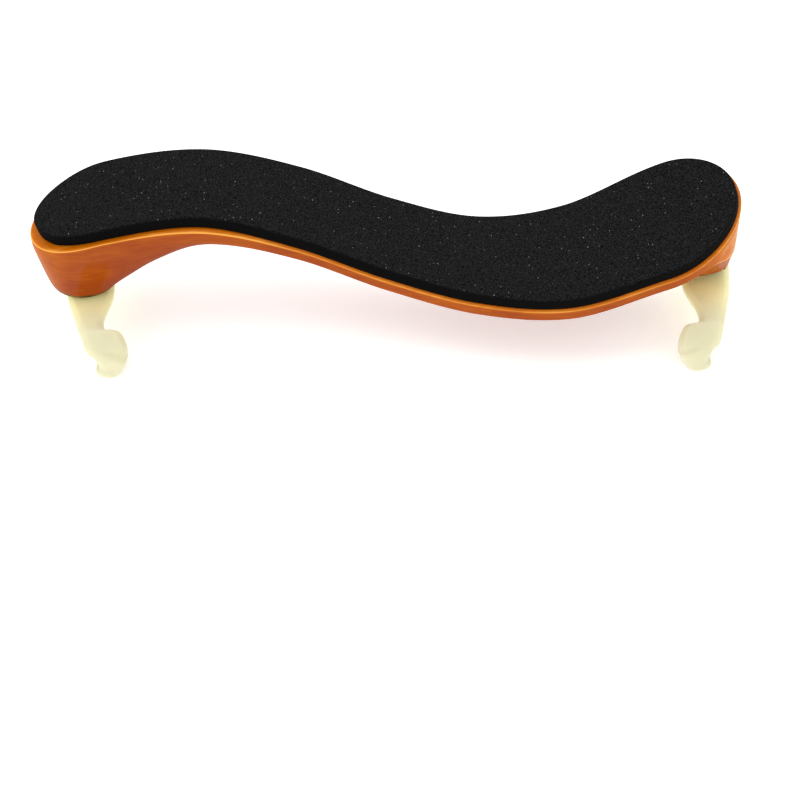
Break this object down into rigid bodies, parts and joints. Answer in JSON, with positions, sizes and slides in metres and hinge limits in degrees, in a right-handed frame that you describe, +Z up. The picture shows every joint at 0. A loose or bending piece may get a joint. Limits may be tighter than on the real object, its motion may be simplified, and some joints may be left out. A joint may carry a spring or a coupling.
{
  "type": "violin shoulder rest",
  "caption": "S-shaped varnished maple shoulder rest for a violin, with a glued foam pad and screw-in forked plastic feet that grip the edge of the instrument.",
  "frame": {"origin": "on the ground under the feet, at the middle of the object in plan", "axes": "+X along the body towards the end plate with the spare hole, +Y to the far side, +Z up"},
  "size_m": [0.2322, 0.0693, 0.0519],
  "materials": {
    "maple": "gloss",
    "foam": "matte",
    "bronze": "satin",
    "insert_brass": "satin",
    "steel": "satin",
    "cream_plastic": "satin"
  },
  "bodies": {
    "rest": {"rest_body": "maple", "shoulder_pad": "foam", "round_plate": "bronze", "left_insert": "insert_brass", "end_plate": "bronze"},
    "left_stud_body": {"left_stud": "steel"},
    "left_foot": {"left_fork": "cream_plastic"},
    "right_stud_body": {"right_stud": "steel"},
    "right_foot": {"right_fork": "cream_plastic"}
  },
  "joints": [
    {"name": "left_foot_travel", "type": "slide", "parent": "rest", "child": "left_stud_body", "axis": [0, 0, -1], "range_m": [0, 0.0081]},
    {"name": "left_foot_turn", "type": "hinge", "parent": "left_stud_body", "child": "left_foot", "pos_m": [-0.10135, 0, 0.0147], "axis": [0, 0, -1], "range_deg": [0, 3600]},
    {"name": "right_foot_travel", "type": "slide", "parent": "rest", "child": "right_stud_body", "axis": [0, 0, -1], "range_m": [-0.0025, 0.0057]},
    {"name": "right_foot_turn", "type": "hinge", "parent": "right_stud_body", "child": "right_foot", "pos_m": [0.10785, 0, 0.0147], "axis": [0, 0, -1], "range_deg": [-1080, 2520]}
  ],
  "couplings": [
    {"joint": "left_foot_travel", "follows": "left_foot_turn", "m_per_rad": 0.00012732},
    {"joint": "right_foot_travel", "follows": "right_foot_turn", "m_per_rad": 0.00012732}
  ]
}
